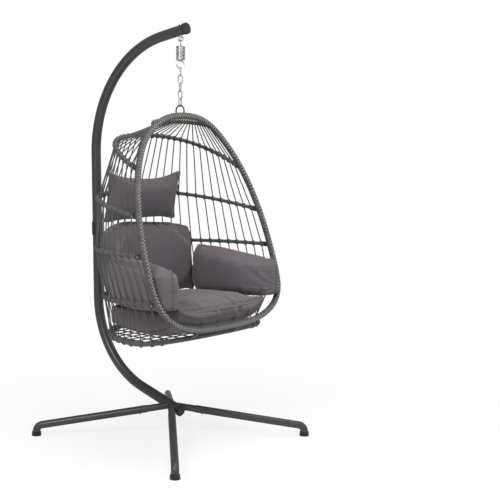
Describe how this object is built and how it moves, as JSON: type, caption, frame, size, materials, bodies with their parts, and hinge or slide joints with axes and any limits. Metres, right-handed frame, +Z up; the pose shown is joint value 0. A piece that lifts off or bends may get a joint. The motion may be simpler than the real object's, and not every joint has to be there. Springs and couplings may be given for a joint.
{
  "type": "hanging egg chair",
  "caption": "Egg-shaped basket chair of wound hoops and cords with loose cushions, hung by a spring and chain from a bent-pole stand on crossed legs.",
  "frame": {"origin": "on the ground, below the middle of the whole outline", "axes": "+Z up, -Y the way the chair faces, +X to the right seen from the front"},
  "size_m": [0.9584, 1.0375, 1.955],
  "materials": {
    "powder_coat": "satin charcoal powder coat",
    "bright_zinc": "bright zinc plating",
    "black_plastic": "matt black moulded plastic",
    "black_steel": "black powder coat",
    "grey_wicker": "wound flat plastic wicker",
    "dark_cord": "wound round plastic cord",
    "grey_cloth": "woven polyester",
    "tie_string": "braided string"
  },
  "bodies": {
    "stand": {"lower_pole": "powder_coat", "upper_pole": "powder_coat", "pole_joiner": "powder_coat", "joiner_bolt": "bright_zinc", "pole_bumper": "black_plastic", "pole_top_cap": "black_plastic", "pole_bottom_cap": "black_plastic", "hub_cross": "powder_coat", "leg_front_left": "powder_coat", "leg_front_right": "powder_coat", "leg_rear_left": "powder_coat", "leg_rear_right": "powder_coat", "foot_front_left": "black_plastic", "foot_front_right": "black_plastic", "foot_rear_left": "black_plastic", "foot_rear_right": "black_plastic", "leg_screws": "bright_zinc", "eyebolt": "bright_zinc", "eyebolt_nuts": "bright_zinc"},
    "spring_top": {"spring_top_hook": "bright_zinc", "spring_coil": "bright_zinc"},
    "spring_bottom": {"spring_bottom_hook": "bright_zinc"},
    "chain": {"chain_link_1": "bright_zinc", "chain_link_2": "bright_zinc", "chain_link_3": "bright_zinc", "chain_link_4": "bright_zinc", "chain_link_5": "bright_zinc"},
    "basket": {"hanger_loop": "black_steel", "front_rim": "grey_wicker", "crown_bar": "grey_wicker", "hoop_1": "dark_cord", "hoop_2": "dark_cord", "hoop_3": "dark_cord", "hoop_4": "dark_cord", "bottom_hoop": "dark_cord", "seat_struts": "dark_cord", "hoop_sockets": "black_steel", "hoop_bolts": "bright_zinc", "crown_net": "dark_cord", "upper_net": "dark_cord", "middle_net": "dark_cord", "lower_net": "dark_cord", "base_net": "dark_cord", "seat_net": "dark_cord", "seat_cushion": "grey_cloth", "back_cushion": "grey_cloth", "side_cushion_left": "grey_cloth", "side_cushion_right": "grey_cloth", "head_pillow": "grey_cloth", "pillow_tie_left": "tie_string", "pillow_tie_right": "tie_string"}
  },
  "joints": [
    {"name": "swing_fore_aft", "type": "hinge", "parent": "stand", "child": "spring_top", "pos_m": [0, -0.07896, 1.87092], "axis": [1, 0, 0], "range_deg": [-12, 6]},
    {"name": "spring_stretch", "type": "slide", "parent": "spring_top", "child": "spring_bottom", "axis": [0, 0, 1], "range_m": [-0.03, 0], "stiffness_N_per_m": 30000, "springref_m": 0.005, "deforming": ["spring_coil"]},
    {"name": "swing_side", "type": "hinge", "parent": "spring_bottom", "child": "chain", "pos_m": [0, -0.07896, 1.74578], "axis": [0, 1, 0], "range_deg": [-10, 10]},
    {"name": "basket_turn", "type": "hinge", "parent": "chain", "child": "basket", "pos_m": [0, -0.07896, 1.57028], "axis": [0, 0, 1], "range_deg": [-24, 24]}
  ]
}
